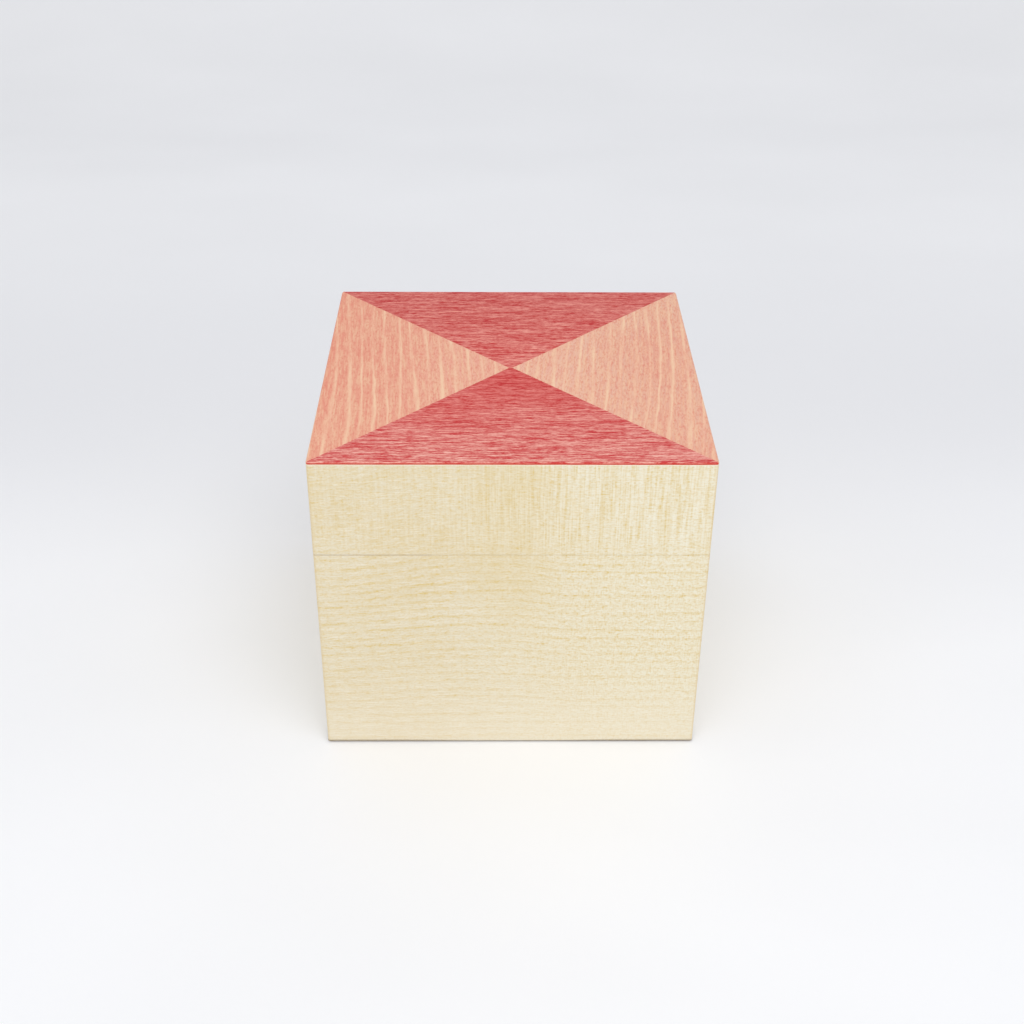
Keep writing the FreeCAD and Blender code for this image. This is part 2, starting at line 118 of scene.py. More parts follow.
def split(tree, vector):
    """The three parts of a vector."""
    return tuple(add(tree, "ShaderNodeSeparateXYZ", {0: vector}).outputs)


def join(tree, x, y, z):
    """A vector from its three parts."""
    return add(tree, "ShaderNodeCombineXYZ", {0: x, 1: y, 2: z}).outputs[0]


def new_group(name, inputs, outputs):
    """An empty shader node group with named sockets, and its input and output nodes' sockets."""
    group = bpy.data.node_groups.new(name, "ShaderNodeTree")
    group.interface.new_socket("Vector", in_out="INPUT", socket_type="NodeSocketVector")
    for label, default in inputs.items():
        socket = group.interface.new_socket(label, in_out="INPUT", socket_type="NodeSocketFloat")
        socket.default_value = default
    for label in outputs:
        group.interface.new_socket(label, in_out="OUTPUT", socket_type="NodeSocketFloat")
    return group, group.nodes.new("NodeGroupInput").outputs, group.nodes.new("NodeGroupOutput").inputs


def place(tree, group, **inputs):
    """Put a node group in a tree with its own values."""
    made = tree.nodes.new("ShaderNodeGroup")
    made.node_tree = group
    for name, given in inputs.items():
        feed(tree, made.inputs[name.replace("_", " ")], given)
    return made.outputs


# Effects that several finishes share

# Noise seldom leaves this span, so the fibres stretch it to 0 to 1
NOISE_SPAN = (0.26, 0.74)
# Noise levels above which dashes show where their cover is 0 and 1
COVER_LEVELS = (0.85, 0.15)
# Width across the grain of the slow waves in growth lines, in millimetres
WAVE_WIDTH = 9.0
# Distances from a cell's edge, in cells, over which a strand of the lace fades
STRAND_SPAN = (0.03, 0.26)


def stretched(group, given):
    """The vector in units of a mark's length and width, with the length along its first axis."""
    size = join(group, given["Length"], given["Width"], given["Width"])
    made = add(group, "ShaderNodeVectorMath", {0: given["Vector"], 1: size}, operation="DIVIDE")
    return made.outputs[0]


def make_fibre_group():
    """Noise from 0 to 1, drawn out along the grain, which is the vector's first axis."""
    inputs = {"Length": 10.0, "Width": 0.5, "Detail": 2.0}
    group, given, result = new_group("wood_fibre", inputs, ["Value"])
    settings = {"Vector": stretched(group, given), "Scale": 1.0, "Detail": given["Detail"]}
    noise = add(group, "ShaderNodeTexNoise", settings)
    spread = ramp(group, noise.outputs[0], NOISE_SPAN, smooth=False)
    group.links.new(spread, result["Value"])
    return group


def make_dash_group(fibre):
    """Short dashes along the grain. Cover is about the share of the surface that they take."""
    inputs = {"Length": 6.0, "Width": 0.5, "Cover": 0.3, "Softness": 0.3}
    group, given, result = new_group("grain_dashes", inputs, ["Mask"])
    sizes = {"Vector": given["Vector"], "Length": given["Length"], "Width": given["Width"], "Detail": 1.0}
    noise = place(group, fibre, **sizes)[0]
    level = ramp(group, given["Cover"], (0.0, 1.0), COVER_LEVELS, smooth=False)
    half = calc(group, "MULTIPLY", given["Softness"], 0.5)
    low = calc(group, "SUBTRACT", level, half)
    high = calc(group, "ADD", level, half)
    group.links.new(ramp(group, noise, (low, high)), result["Mask"])
    return group


def make_growth_group(fibre):
    """Growth lines stacked along the vector's third axis: a thin line, and the tone that leads up to it."""
    inputs = {"Pitch": 4.0, "Wave": 1.0, "Wave Length": 40.0, "Line": 0.2, "Peak": 0.92}
    group, given, result = new_group("growth_lines", inputs, ["Line", "Tone"])
    vector = given["Vector"]
    slow = place(group, fibre, Vector=vector, Length=given["Wave Length"], Width=WAVE_WIDTH, Detail=1.0)[0]
    swing = calc(group, "MULTIPLY", calc(group, "SUBTRACT", slow, 0.5), given["Wave"])
    shifted = calc(group, "ADD", swing, split(group, vector)[2])
    turn = calc(group, "FRACT", calc(group, "DIVIDE", shifted, given["Pitch"]))
    start = calc(group, "SUBTRACT", given["Peak"], given["Line"])
    rise = ramp(group, turn, (start, given["Peak"]))
    fall = ramp(group, turn, (given["Peak"], 1.0), (1.0, 0.0))
    group.links.new(calc(group, "MULTIPLY", rise, fall), result["Line"])
    group.links.new(turn, result["Tone"])
    return group


def make_lace_group():
    """A net of fine flecks: 1 on the strands of the net and 0 inside its cells."""
    group, given, result = new_group("lace_figure", {"Length": 1.6, "Width": 0.8}, ["Mask"])
    cells = add(group, "ShaderNodeTexVoronoi", {"Vector": stretched(group, given), "Scale": 1.0},
                feature="DISTANCE_TO_EDGE")
    group.links.new(ramp(group, cells.outputs[0], STRAND_SPAN, (1.0, 0.0)), result["Mask"])
    return group


fibre_group = make_fibre_group()
dash_group = make_dash_group(fibre_group)
growth_group = make_growth_group(fibre_group)
lace_group = make_lace_group()


def fibres(tree, vector, length, width, detail=2.0):
    """Fibre noise whose length and width are in millimetres."""
    return place(tree, fibre_group, Vector=vector, Length=length, Width=width, Detail=detail)[0]


def dashes(tree, vector, length, width, cover, softness):
    """A mask of dashes whose length and width are in millimetres."""
    sizes = {"Length": length, "Width": width, "Cover": cover, "Softness": softness}
    return place(tree, dash_group, Vector=vector, **sizes)[0]


def growth_lines(tree, vector, pitch, wave, wave_length, line, peak):
    """Growth lines whose pitch and waves are in millimetres; line and peak are shares of the pitch."""
    sizes = {"Pitch": pitch, "Wave": wave, "Wave_Length": wave_length, "Line": line, "Peak": peak}
    return place(tree, growth_group, Vector=vector, **sizes)


# Parts of every finish

# Span of a fibre noise over which the roughness of a finish changes
ROUGHNESS_SPAN = (0.1, 0.9)


def new_finish(name):
    """A new material: its tree, its Principled shader and its Object coordinates in metres."""
    material = bpy.data.materials.new(name)
    material.use_nodes = True
    tree = material.node_tree
    shader = tree.nodes["Principled BSDF"]
    coordinates = add(tree, "ShaderNodeTexCoord").outputs["Object"]
    return material, tree, shader, coordinates


def grain_frame(tree, coordinates, turn=(0.0, 0.0, 0.0), shift=(0.0, 0.0, 0.0)):
    """Coordinates in millimetres, turned so that the first axis runs along the grain, and shifted."""
    angles = tuple(math.radians(angle) for angle in turn)
    inputs = {"Vector": coordinates, "Location": shift, "Rotation": angles, "Scale": (MM, MM, MM)}
    return add(tree, "ShaderNodeMapping", inputs).outputs[0]


def relief(tree, shader, height, depth):
    """Give the surface a fine relief; depth is in millimetres."""
    inputs = {"Height": height, "Distance": depth / MM, "Strength": 1.0}
    bump = add(tree, "ShaderNodeBump", inputs)
    tree.links.new(bump.outputs[0], shader.inputs["Normal"])


def dress(tree, shader, colour, noise, roughness, gloss):
    """Give the shader its colour, a roughness that follows a fibre noise, and its gloss."""
    tree.links.new(colour, shader.inputs["Base Color"])
    rough = ramp(tree, noise, ROUGHNESS_SPAN, roughness, smooth=False)
    tree.links.new(rough, shader.inputs["Roughness"])
    shader.inputs["Specular IOR Level"].default_value = gloss


# Pale hardwood of the walls and rails: tones

CREAM = srgb(229, 216, 186)
PALE_CREAM = srgb(234, 225, 202)
RIGHT_CREAM = srgb(241, 236, 216)
# Painted light that makes the foot of each board paler
PAINTED_LIGHT_FOOT_CREAM = srgb(241, 230, 206)
FIBRE_CREAM = srgb(248, 241, 224)
FLAME_TONE = srgb(226, 206, 158)
HONEY_TONE = srgb(222, 193, 116)
FLECK_TONE = srgb(248, 243, 226)
CORNER_TONE = srgb(226, 200, 150)
RIM_TONE = srgb(250, 244, 230)
# Painted contact shadow at the foot
FOOT_SHADOW_TONE = srgb(132, 108, 70)
# Painted shade along the seam
SEAM_SHADE_TONE = srgb(150, 112, 56)

# Pale hardwood: spans along a board from its middle, in millimetres
CLIMB_SPAN = (-HALF_WIDTH, -8.0)
DIP_SPAN = (0.0, 14.0)
RIB_SPAN = (-30.0, 20.0)
LACE_SPAN = (-6.0, 18.0)
LINE_SPAN = (-18.0, 12.0)
FLECK_SPAN = (-20.0, 15.0)
PALE_SPAN = (-20.0, 40.0)
SEAM_SHADE_SPAN = (-20.0, -17.0)
# The same, measured alike to the left and to the right
FLAME_SPAN = (2.0, 14.0)
FOOT_SHADOW_SPAN = (6.0, 28.0)
CORNER_SPAN = (HALF_WIDTH - 0.8, HALF_WIDTH - 0.2)

# Pale hardwood: levels above the floor, in millimetres
CLIMB_LEVELS = (4.0, 50.0)
FIGURE_LEVELS = (SEAM_LEVEL - 5.0, SEAM_LEVEL + 7.0)
CREAMY_LEVELS = (0.0, 30.0)
FLAME_LEVELS = (20.0, 50.0)
RIM_LEVELS = (BOX_HEIGHT - 1.1, BOX_HEIGHT - 0.7)
FOOT_SHADOW_BOTTOM = 0.2
FOOT_SHADOW_TOPS = (0.65, 1.15)

# Pale hardwood: other sizes in millimetres. Depths count down from the box's middle to the outer face
CLIMB_HEIGHTS = (0.6, 3.6)
RIPPLE_HEIGHT = 0.42
SEAM_SHADE_REACH = (0.05, 0.25)
SEAM_SHADE_DEPTHS = (0.1 - HALF_WIDTH, 0.3 - HALF_WIDTH)
FOOT_SHADOW_DEPTHS = (0.5 - HALF_WIDTH, 1.0 - HALF_WIDTH)
BOARD_RELIEF = 0.012


def board_frame(tree, coordinates, turn, shift):
    """A board's axes, the directions that its figure follows, and masks of where its figure differs."""
    plain = grain_frame(tree, coordinates, (0, 0, -turn))
    along, through, up = split(tree, plain)
    own = add(tree, "ShaderNodeVectorMath", {0: plain, 1: shift}, operation="ADD").outputs[0]
    own_along, own_through, own_up = split(tree, own)
    # The growth lines climb towards the middle of the board and dip a little past it
    climb = ramp(tree, along, CLIMB_SPAN)
    dip = ramp(tree, along, DIP_SPAN, (0.0, 0.5))
    height = ramp(tree, up, CLIMB_LEVELS, CLIMB_HEIGHTS, smooth=False)
    lift = times(tree, calc(tree, "SUBTRACT", climb, dip), height)
    level = calc(tree, "SUBTRACT", own_up, lift)
    ripple = fibres(tree, own, length=5.0, width=2.5)
    rippled = calc(tree, "MULTIPLY_ADD", ripple, RIPPLE_HEIGHT, level)
    upper = ramp(tree, up, FIGURE_LEVELS)
    lower = calc(tree, "SUBTRACT", 1.0, upper)
    return SimpleNamespace(
        along=along,
        through=through,
        up=up,
        from_middle=calc(tree, "ABSOLUTE", along),
        own=own,
        bent=join(tree, own_along, own_through, level),
        rippled=join(tree, own_along, own_through, rippled),
        upright=join(tree, own_up, own_through, own_along),
        upper=upper,
        lower=lower,
        upper_right=times(tree, upper, ramp(tree, along, RIB_SPAN, (0.4, 1.0))),
        lower_right=times(tree, lower, ramp(tree, along, LACE_SPAN)),
    )


def growth_figure(tree, board):
    """Broken growth lines along the board: strong below the seam, and weaker to the right."""
    growth = growth_lines(tree, board.rippled, pitch=2.3, wave=1.6, wave_length=55.0, line=0.45, peak=0.8)
    broken = dashes(tree, board.bent, length=2.6, width=0.45, cover=0.5, softness=0.5)
    strength = fibres(tree, board.bent, length=40.0, width=3.0, detail=1.0)
    lines = times(tree, growth["Line"], at_least(tree, broken, 0.25), at_least(tree, board.lower, 0.2))
    lines = times(tree, lines, ramp(tree, strength, (0.2, 0.75), (0.45, 1.0)))
    return times(tree, lines, ramp(tree, board.along, LINE_SPAN, (1.0, 0.7)))


def upright_figure(tree, board):
    """Ribs and reeds that stand upright above the seam, most of all at the right."""
    growth = growth_lines(tree, board.upright, pitch=1.7, wave=3.0, wave_length=20.0, line=0.35, peak=0.6)
    streaks = dashes(tree, board.upright, length=6.0, width=0.5, cover=0.5, softness=0.5)
    reeds = dashes(tree, board.upright, length=9.0, width=0.4, cover=0.4, softness=0.5)
    ribs = times(tree, growth["Line"], at_least(tree, streaks, 0.3))
    return times(tree, weigh(tree, (ribs, 0.2), (reeds, 0.28)), board.upper_right)


def honey_figure(tree, board):
    """How much honey tone shows: lines and specks, fainter at the foot, and threads above the seam."""
    lines = growth_figure(tree, board)
    short = dashes(tree, board.bent, length=1.6, width=0.36, cover=0.34, softness=0.4)
    dots = dashes(tree, board.own, length=0.6, width=0.45, cover=0.28, softness=0.35)
    lace = place(tree, lace_group, Vector=board.bent, Length=1.5, Width=0.8)[0]
    lace = times(tree, lace, board.lower_right)
    ticks = dashes(tree, board.upright, length=1.5, width=0.36, cover=0.34, softness=0.4)
    ticks = times(tree, ticks, board.lower_right)
    figure = weigh(tree, (lines, 0.56), (short, 0.26), (dots, 0.27), (lace, 0.1), (ticks, 0.2))
    figure = times(tree, figure, ramp(tree, board.up, CREAMY_LEVELS, (0.45, 1.0)))
    threads = dashes(tree, board.bent, length=3.5, width=0.4, cover=0.42, softness=0.5)
    threads = times(tree, threads, weigh(tree, (board.upper, 1.0), (board.upper_right, -0.4)))
    above_seam = calc(tree, "MULTIPLY_ADD", threads, 0.2, upright_figure(tree, board))
    return calc(tree, "ADD", figure, above_seam, clamp=True)


def pale_figure(tree, board):
    """Pale flecks, most at the right, and pale gleams between the upright ribs."""
    flecks = dashes(tree, board.own, length=1.0, width=0.42, cover=0.3, softness=0.4)
    flecks = times(tree, flecks, ramp(tree, board.along, FLECK_SPAN, (0.4, 1.0)))
    gleams = dashes(tree, board.upright, length=9.0, width=0.34, cover=0.36, softness=0.5)
    gleams = times(tree, gleams, board.upper_right)
    return weigh(tree, (flecks, 0.22), (gleams, 0.26))


def cream_ground(tree, board, fine):
    """The board's ground: paler at the right, paler at the foot with painted light, and with a yellower
    flame in the middle.
    """
    slow = fibres(tree, board.own, length=45.0, width=22.0, detail=1.0)
    flame = ramp(tree, board.from_middle, FLAME_SPAN, (0.32, 0.0))
    flame = times(tree, flame, ramp(tree, board.up, FLAME_LEVELS))
    ground = blend(tree, slow, CREAM, PALE_CREAM)
    ground = blend(tree, ramp(tree, board.along, PALE_SPAN, (0.0, 0.9)), ground, RIGHT_CREAM)
    # Painted light: the lower part of the board is paler
    ground = blend(tree, ramp(tree, board.up, CREAMY_LEVELS, (0.6, 0.0)), ground, PAINTED_LIGHT_FOOT_CREAM)
    ground = blend(tree, ramp(tree, fine, (0.45, 0.95), (0.0, 0.7)), ground, FIBRE_CREAM)
    return blend(tree, flame, ground, FLAME_TONE)


def board_edges(tree, board, colour):
    """Darker eased corners, painted contact shadow at the foot, a paler rim under the veneer, and painted
    shade along the seam at its left end.
    """
    corner = ramp(tree, board.from_middle, CORNER_SPAN, (0.0, 0.4))
    rim = ramp(tree, board.up, RIM_LEVELS, (0.0, 0.35))
    # The foot carries painted contact shadow: it is higher towards the ends of the board, and only its
    # outer edge is dark
    foot_shadow_top = ramp(tree, board.from_middle, FOOT_SHADOW_SPAN, FOOT_SHADOW_TOPS)
    foot = ramp(tree, board.up, (FOOT_SHADOW_BOTTOM, foot_shadow_top), (0.9, 0.0))
    foot = times(tree, foot, ramp(tree, board.through, FOOT_SHADOW_DEPTHS, (1.0, 0.0)))
    # Painted shade along the seam, on the outer face at the left end of the board
    from_seam = calc(tree, "ABSOLUTE", calc(tree, "SUBTRACT", board.up, SEAM_LEVEL))
    tarnish_and_seam_shade = ramp(tree, from_seam, SEAM_SHADE_REACH, (1.0, 0.0))
    tarnish_and_seam_shade = times(tree, tarnish_and_seam_shade, ramp(tree, board.along, SEAM_SHADE_SPAN, (0.25, 0.0)))
    tarnish_and_seam_shade = times(tree, tarnish_and_seam_shade, ramp(tree, board.through, SEAM_SHADE_DEPTHS, (1.0, 0.0)))
    for mask, tone in ((corner, CORNER_TONE), (rim, RIM_TONE), (foot, FOOT_SHADOW_TONE), (tarnish_and_seam_shade, SEAM_SHADE_TONE)):
        colour = blend(tree, mask, colour, tone)
    return colour


def pale_hardwood(name, turn, shift):
    """Pale figured hardwood of one side; its wall and rail share it, so the figure crosses the seam."""
    material, tree, shader, coordinates = new_finish(name)
    board = board_frame(tree, coordinates, turn, shift)
    fine = fibres(tree, board.own, length=4.0, width=0.16, detail=3.0)
    honey = honey_figure(tree, board)
    colour = blend(tree, honey, cream_ground(tree, board, fine), HONEY_TONE)
    colour = blend(tree, pale_figure(tree, board), colour, FLECK_TONE)
    colour = board_edges(tree, board, colour)
    dress(tree, shader, colour, fine, roughness=(0.46, 0.6), gloss=0.35)
    relief(tree, shader, calc(tree, "MULTIPLY_ADD", honey, -0.5, fine), BOARD_RELIEF)
    return material


# Dyed veneer of the top: tones, and sizes in millimetres

RED_EDGE_DYE_AND_SHADE_TONE = srgb(206, 50, 14)
PINK_TIP_TONE = srgb(238, 192, 170)
PINK_FIBRE_TONE = srgb(237, 193, 158)
PINK_GROWTH_TONE = srgb(234, 152, 130)
PINK_FINE_TONE = srgb(220, 126, 108)
PINK_SPECK_TONE = srgb(218, 112, 98)
PINK_LINE_TONE = srgb(244, 212, 176)
MIDDLE_TO_EDGE = (8.0, 43.0)
RED_EDGE_LEVELS = (BOX_HEIGHT - 0.3, BOX_HEIGHT - 0.15)
RED_RELIEF = 0.015
PINK_TIP_SPAN = (4.0, 34.0)
PINK_RELIEF = 0.01
# Bow of the pink sheets' lines in millimetres, for the square of the distance from the middle
LINE_BOW = 0.0006
LINE_WAVER = 0.5


def red_veneer(name, middle_tones, lit_and_shaded_edge_tones):
    """Dyed red veneer: dark streaks over a light tone. Both tones change towards the top's edge, where the
    edge tones carry painted light.
    """
    material, tree, shader, coordinates = new_finish(name)
    board = grain_frame(tree, coordinates)
    parts = split(tree, board)
    heather = fibres(tree, board, length=4.0, width=0.36)
    short = fibres(tree, board, length=1.7, width=0.28, detail=1.0)
    bands = fibres(tree, board, length=14.0, width=1.0)
    pores = fibres(tree, board, length=9.0, width=0.2, detail=1.0)
    stipple = fibres(tree, board, length=0.5, width=0.26, detail=1.0)
    dark = weigh(tree, (heather, 0.26), (short, 0.24), (bands, 0.16), (pores, 0.22), (stipple, 0.12))
    dark = ramp(tree, dark, (0.33, 0.61), smooth=False)
    slow = fibres(tree, board, length=30.0, width=12.0, detail=1.0)
    uneven = ramp(tree, slow, (0.0, 1.0), (-0.15, 0.15), smooth=False)
    reach = ramp(tree, calc(tree, "ABSOLUTE", parts[1]), MIDDLE_TO_EDGE, smooth=False)
    reach = calc(tree, "ADD", reach, uneven, clamp=True)
    light_tone = blend(tree, reach, middle_tones[0], lit_and_shaded_edge_tones[0])
    dark_tone = blend(tree, reach, middle_tones[1], lit_and_shaded_edge_tones[1])
    colour = blend(tree, dark, light_tone, dark_tone)
    # The veneer's outer edge turns dark red: end grain that takes up more dye, with painted shade on it
    edge = ramp(tree, parts[2], RED_EDGE_LEVELS, (0.75, 0.0))
    colour = blend(tree, edge, colour, RED_EDGE_DYE_AND_SHADE_TONE)
    dress(tree, shader, colour, short, roughness=(0.5, 0.65), gloss=0.25)
    relief(tree, shader, calc(tree, "MULTIPLY", dark, -1.0), RED_RELIEF)
    return material


def pink_veneer(name, lean, shift, tones):
    """Dyed pink veneer with soft pale growth lines that run from front to back."""
    material, tree, shader, coordinates = new_finish(name)
    board = grain_frame(tree, coordinates, (0, 0, 90 + lean), shift)
    parts = split(tree, board)
    plan = split(tree, grain_frame(tree, coordinates))
    # The lines bow a little from front to back, and waver
    bowed = calc(tree, "MULTIPLY_ADD", times(tree, plan[1], plan[1]), LINE_BOW, parts[1])
    waver = fibres(tree, board, length=8.0, width=1.2)
    stacked = join(tree, parts[0], parts[2], calc(tree, "MULTIPLY_ADD", waver, LINE_WAVER, bowed))
    growth = growth_lines(tree, stacked, pitch=3.2, wave=3.0, wave_length=90.0, line=0.24, peak=0.82)
    uneven = fibres(tree, board, length=24.0, width=2.4)
    fine = fibres(tree, board, length=1.8, width=0.36)
    long_fibres = fibres(tree, board, length=7.0, width=0.5)
    slow = fibres(tree, board, length=40.0, width=11.0, detail=1.0)
    specks = dashes(tree, board, length=1.0, width=0.45, cover=0.2, softness=0.3)
    # The tips at the middle of the top are paler
    tip = ramp(tree, calc(tree, "ABSOLUTE", plan[0]), PINK_TIP_SPAN, (0.5, 0.0))
    lines = times(tree, growth["Line"], ramp(tree, uneven, (0.2, 0.8), (0.2, 0.68)))
    colour = blend(tree, slow, *tones)
    colour = blend(tree, tip, colour, PINK_TIP_TONE)
    colour = blend(tree, ramp(tree, long_fibres, (0.15, 0.9), (0.0, 0.75)), colour, PINK_FIBRE_TONE)
    colour = blend(tree, times(tree, growth["Tone"], 0.3), colour, PINK_GROWTH_TONE)
    colour = blend(tree, ramp(tree, fine, (0.35, 1.0), (0.0, 0.44)), colour, PINK_FINE_TONE)
    colour = blend(tree, times(tree, specks, 0.35), colour, PINK_SPECK_TONE)
    colour = blend(tree, lines, colour, PINK_LINE_TONE)
    dress(tree, shader, colour, fine, roughness=(0.5, 0.65), gloss=0.25)
    relief(tree, shader, fine, PINK_RELIEF)
    return material


# Woods and metals of the inside: sizes in millimetres

PLAIN_WOOD_SHIFT = (11.0, 5.0, 2.0)
PLAIN_WOOD_RELIEF = 0.03
METAL_RELIEF = 0.01
# Tool marks on turned metal, for each millimetre along it
TOOL_MARKS = 9.0


def plain_wood(name, turn, pitch, tones, line_tone):
    """A plainer wood of the inside: growth lines, fibres and pores in the given tones."""
    material, tree, shader, coordinates = new_finish(name)
    board = grain_frame(tree, coordinates, turn, PLAIN_WOOD_SHIFT)
    growth = growth_lines(tree, board, pitch=pitch, wave=1.4, wave_length=35.0, line=0.45, peak=0.92)
    fine = fibres(tree, board, length=6.0, width=0.2, detail=3.0)
    pores = dashes(tree, board, length=2.2, width=0.22, cover=0.3, softness=0.1)
    dark = calc(tree, "MULTIPLY_ADD", growth["Line"], 0.5, times(tree, pores, 0.45), clamp=True)
    colour = blend(tree, dark, blend(tree, fine, *tones), line_tone)
    dress(tree, shader, colour, fine, roughness=(0.45, 0.62), gloss=0.5)
    relief(tree, shader, calc(tree, "SUBTRACT", fine, pores), PLAIN_WOOD_RELIEF)
    return material


def turned_metal(name, tones, roughness):
    """Metal turned on a lathe: fine rings along the pins' direction, and a little uneven tarnish."""
    material, tree, shader, coordinates = new_finish(name)
    turned = grain_frame(tree, coordinates)
    rings = fibres(tree, turned, length=40.0, width=0.12)
    lathe = {"W": split(tree, turned)[1], "Scale": TOOL_MARKS, "Detail": 2.0}
    marks = add(tree, "ShaderNodeTexNoise", lathe, noise_dimensions="1D").outputs[0]
    tarnish_and_seam_shade = fibres(tree, turned, length=3.0, width=3.0)
    tone = weigh(tree, (tarnish_and_seam_shade, 0.5), (marks, 0.5))
    tree.links.new(blend(tree, tone, *tones), shader.inputs["Base Color"])
    dull = ramp(tree, tarnish_and_seam_shade, (0.3, 0.7), (roughness, roughness + 0.12))
    rough = calc(tree, "MULTIPLY_ADD", rings, 0.15, dull)
    tree.links.new(rough, shader.inputs["Roughness"])
    shader.inputs["Metallic"].default_value = 1.0
    relief(tree, shader, marks, METAL_RELIEF)
    return material


# Finishes on the pieces

def finish_nodes(names, material):
    """Give CAD nodes their finish."""
    for name in names:
        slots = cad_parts[name].data.materials
        slots.clear()
        slots.append(material)


# Each side's turn in degrees, and the place in the wood that its board is cut from, in millimetres
SIDES = {
    "front": (0, (0, 0, 0)),
    "right": (90, (137, 20, 9)),
    "back": (180, (291, 40, 17)),
    "left": (270, (433, 60, 5)),
}
for side, (side_turn, side_shift) in SIDES.items():
    board_finish = pale_hardwood(f"pale_hardwood_{side}", side_turn, side_shift)
    finish_nodes([f"body_{side}_wall", f"lid_{side}_rail"], board_finish)

# A light and a dark tone at the middle of the top, and the same at its edge, with painted light: the front
# sheet turns paler towards the front edge, the back sheet darker towards the back edge
RED_TONES = {
    "front": ((srgb(226, 122, 114), srgb(192, 30, 34)), (srgb(242, 183, 168), srgb(202, 58, 60))),
    "back": ((srgb(236, 157, 143), srgb(196, 44, 46)), (srgb(228, 146, 134), srgb(186, 38, 40))),
}
for side, (middle, outer) in RED_TONES.items():
    finish_nodes([f"veneer_{side}"], red_veneer(f"red_veneer_{side}", middle, outer))

# The lean of the lines in degrees, the shift of the figure in millimetres, and two tones
PINK_SHEETS = {
    "left": (-3.0, (0, 0, 0), (srgb(228, 146, 123), srgb(231, 166, 140))),
    "right": (5.5, (60, 30, 0), (srgb(226, 163, 141), srgb(229, 187, 162))),
}
for side, (lines_lean, sheet_shift, sheet_tones) in PINK_SHEETS.items():
    sheet_finish = pink_veneer(f"pink_veneer_{side}", lines_lean, sheet_shift, sheet_tones)
    finish_nodes([f"veneer_{side}"], sheet_finish)

PANEL_TONES = (srgb(222, 200, 164), srgb(232, 214, 182))
PANEL_LINES = srgb(200, 166, 120)
BLOCK_TONES = (srgb(112, 72, 46), srgb(146, 98, 64))
BLOCK_LINES = srgb(74, 44, 28)
DOWEL_TONES = (srgb(206, 172, 128), srgb(220, 190, 148))
DOWEL_LINES = srgb(168, 126, 84)
PANELS = ["bottom_panel", "lid_top_panel"]
RUNNERS = ["runner_block_front", "runner_block_back"]
KEEPER_STRIPS = ["keeper_base", "keeper_wall_cheek", "keeper_inner_cheek"]
DOWELS = ["keeper_dowels", "runner_dowels"]
TONGUES = ["runner_tongue_front", "runner_tongue_back"]
SPLINES = ["body_corner_splines", "lid_corner_splines"]
finish_nodes(PANELS, plain_wood("panel_wood", (90, 0, 0), 5.0, PANEL_TONES, PANEL_LINES))
finish_nodes(RUNNERS, plain_wood("block_wood", (0, 0, 0), 3.0, BLOCK_TONES, BLOCK_LINES))
finish_nodes(KEEPER_STRIPS, plain_wood("keeper_wood", (0, 0, 90), 3.0, BLOCK_TONES, BLOCK_LINES))
finish_nodes(DOWELS, plain_wood("dowel_wood", (0, 0, 90), 2.5, DOWEL_TONES, DOWEL_LINES))
finish_nodes(TONGUES, plain_wood("tongue_wood", (0, 0, 0), 2.5, DOWEL_TONES, DOWEL_LINES))
finish_nodes(SPLINES, plain_wood("spline_wood", (0, 90, 0), 2.5, DOWEL_TONES, DOWEL_LINES))

STEEL_TONES = (srgb(196, 198, 202), srgb(222, 223, 226))
BRASS_TONES = (srgb(206, 164, 86), srgb(226, 190, 116))
finish_nodes(["lock_pin_front", "lock_pin_back"], turned_metal("turned_steel", STEEL_TONES, 0.22))
finish_nodes(["pin_bush_front", "pin_bush_back"], turned_metal("turned_brass", BRASS_TONES, 0.25))


# Studio sheet: sizes in metres, and tones

SHEET_WIDTH = 6.0
SHEET_NEAR = -3.0
SWEEP_START = 0.42
SWEEP_RADIUS = 0.5
SWEEP_ANGLE = math.radians(80)
SWEEP_STEPS = 24
SHEET_RISE = 2.0
SHEET_TONES = (srgb(242, 243, 246), srgb(248, 249, 252))
SHEET_SHADE_GREY = srgb(233, 234, 238)
# Depths behind the middle of the box, in millimetres, over which painted shade makes the sheet greyer and
# then paler again
PAINTED_SHADE_DEPTHS = (-20.0, 130.0)
SHADE_FADE_DEPTHS = (130.0, 340.0)


def sheet_mesh():
    """A flat floor that sweeps up behind the box and goes on straight."""
    shape = bmesh.new()
    near = shape.verts.new((-SHEET_WIDTH / 2, SHEET_NEAR, 0.0))
    start = shape.verts.new((-SHEET_WIDTH / 2, SWEEP_START, 0.0))
    shape.edges.new((near, start))
    centre = (0.0, SWEEP_START, SWEEP_RADIUS)
    bmesh.ops.spin(shape, geom=[start], cent=centre, axis=(1, 0, 0), dvec=(0, 0, 0),
                   angle=SWEEP_ANGLE, steps=SWEEP_STEPS, use_merge=False, use_duplicate=False)
    end = max(shape.verts, key=lambda vert: vert.co.y)
    raised = bmesh.ops.extrude_vert_indiv(shape, verts=[end])["verts"][0]
    raised.co += SHEET_RISE * Vector((0.0, math.cos(SWEEP_ANGLE), math.sin(SWEEP_ANGLE)))
    swept = bmesh.ops.extrude_edge_only(shape, edges=shape.edges[:])["geom"]
    moved = [item for item in swept if isinstance(item, bmesh.types.BMVert)]
    bmesh.ops.translate(shape, verts=moved, vec=(SHEET_WIDTH, 0.0, 0.0))
    bmesh.ops.recalc_face_normals(shape, faces=shape.faces[:])
    for face in shape.faces:
        face.smooth = True
    mesh = bpy.data.meshes.new("studio_sheet")
    shape.to_mesh(mesh)
    shape.free()
    return mesh


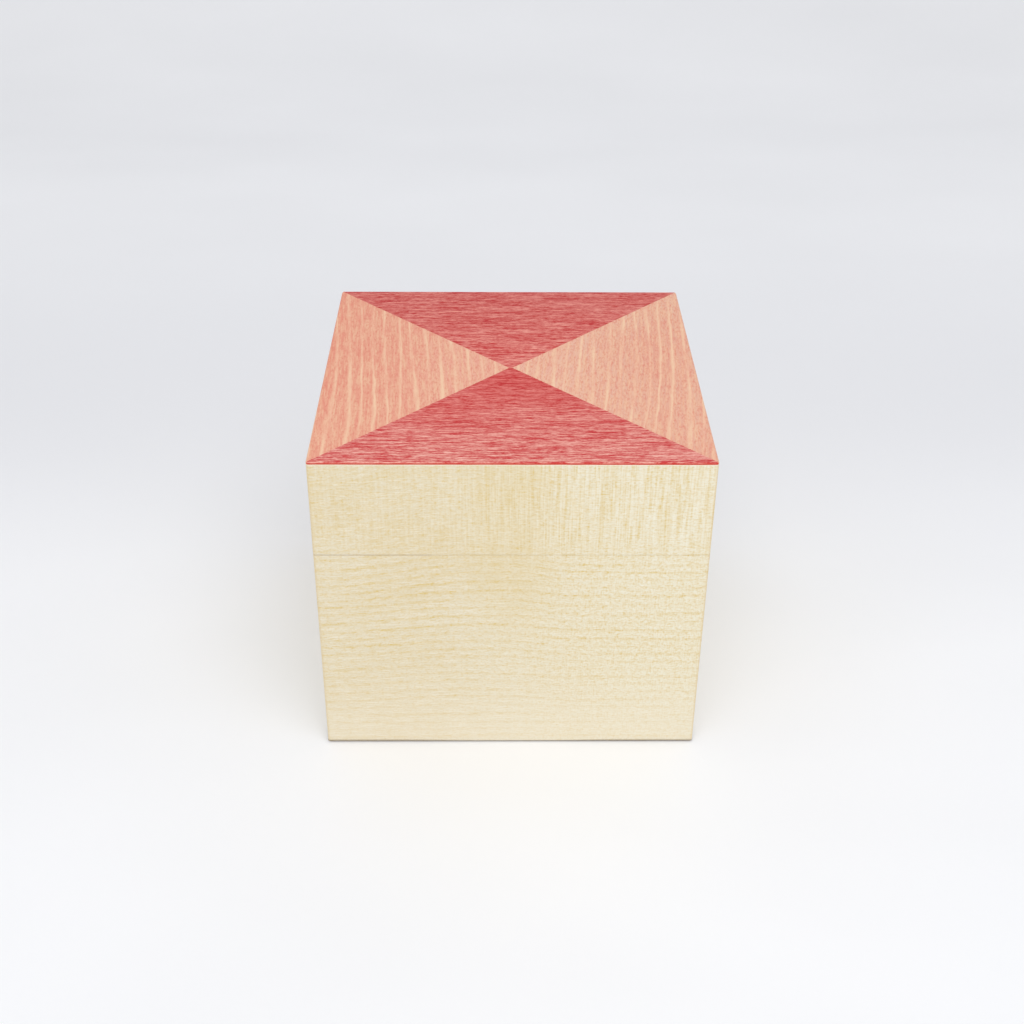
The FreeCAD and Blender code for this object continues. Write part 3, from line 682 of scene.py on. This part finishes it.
def sheet_paper():
    """Matt, nearly white paper with faint clouds, and painted shade that makes it greyer beside the box and
    up to the foot of the sweep.
    """
    material, tree, shader, coordinates = new_finish("studio_sheet")
    plan = grain_frame(tree, coordinates)
    cloud = fibres(tree, plan, length=160.0, width=90.0)
    depth = split(tree, plan)[1]
    painted_shade = times(tree, ramp(tree, depth, PAINTED_SHADE_DEPTHS), ramp(tree, depth, SHADE_FADE_DEPTHS, (0.9, 0.2)))
    colour = blend(tree, painted_shade, blend(tree, cloud, *SHEET_TONES), SHEET_SHADE_GREY)
    tree.links.new(colour, shader.inputs["Base Color"])
    shader.inputs["Roughness"].default_value = 0.9
    shader.inputs["Specular IOR Level"].default_value = 0.1
    return material


def studio_sheet():
    """One pale sheet under and behind the box."""
    mesh = sheet_mesh()
    mesh.materials.append(sheet_paper())
    sheet = bpy.data.objects.new("studio_sheet", mesh)
    bpy.context.scene.collection.objects.link(sheet)


# Light and camera: places in metres

WORLD_STRENGTH = 0.755
LAMP_PLACE = Vector((0.06, -0.45, 0.78))
LAMP_TARGET = Vector((0.0, -0.22, 0.0))
LAMP_SIZE = 0.8
LAMP_POWER = 2.85
CAMERA_PLACE = (-0.0039, -0.3132, 0.2401)
CAMERA_DROP = math.radians(32.745)
CAMERA_SWING = math.radians(-0.818)
CAMERA_TILT = math.radians(0.473)
CAMERA_LENS = 50.51
CAMERA_SENSOR = 36.0


def studio_light():
    """Even white light from all round, and one large soft lamp in front of the box and above it."""
    world = bpy.data.worlds.new("studio_world")
    world.use_nodes = True
    bpy.context.scene.world = world
    background = world.node_tree.nodes["Background"]
    background.inputs["Color"].default_value = (1.0, 1.0, 1.0, 1.0)
    background.inputs["Strength"].default_value = WORLD_STRENGTH
    data = bpy.data.lights.new("front_lamp", "AREA")
    data.shape = "DISK"
    data.size = LAMP_SIZE
    data.energy = LAMP_POWER
    lamp = bpy.data.objects.new("front_lamp", data)
    bpy.context.scene.collection.objects.link(lamp)
    lamp.location = LAMP_PLACE
    lamp.rotation_mode = "QUATERNION"
    lamp.rotation_quaternion = (LAMP_TARGET - LAMP_PLACE).to_track_quat("-Z", "Y")


def studio_camera():
    """The camera, at the photograph's viewing angle."""
    data = bpy.data.cameras.new("camera")
    data.lens = CAMERA_LENS
    data.sensor_width = CAMERA_SENSOR
    data.clip_start = 0.01
    camera = bpy.data.objects.new("camera", data)
    bpy.context.scene.collection.objects.link(camera)
    aim = Matrix.Rotation(CAMERA_SWING, 4, "Z") @ Matrix.Rotation(math.pi / 2 - CAMERA_DROP, 4, "X")
    turned = aim @ Matrix.Rotation(CAMERA_TILT, 4, "Z")
    camera.matrix_world = Matrix.Translation(CAMERA_PLACE) @ turned
    bpy.context.scene.camera = camera


studio_sheet()
studio_light()
studio_camera()
bpy.context.scene.view_settings.view_transform = "Standard"
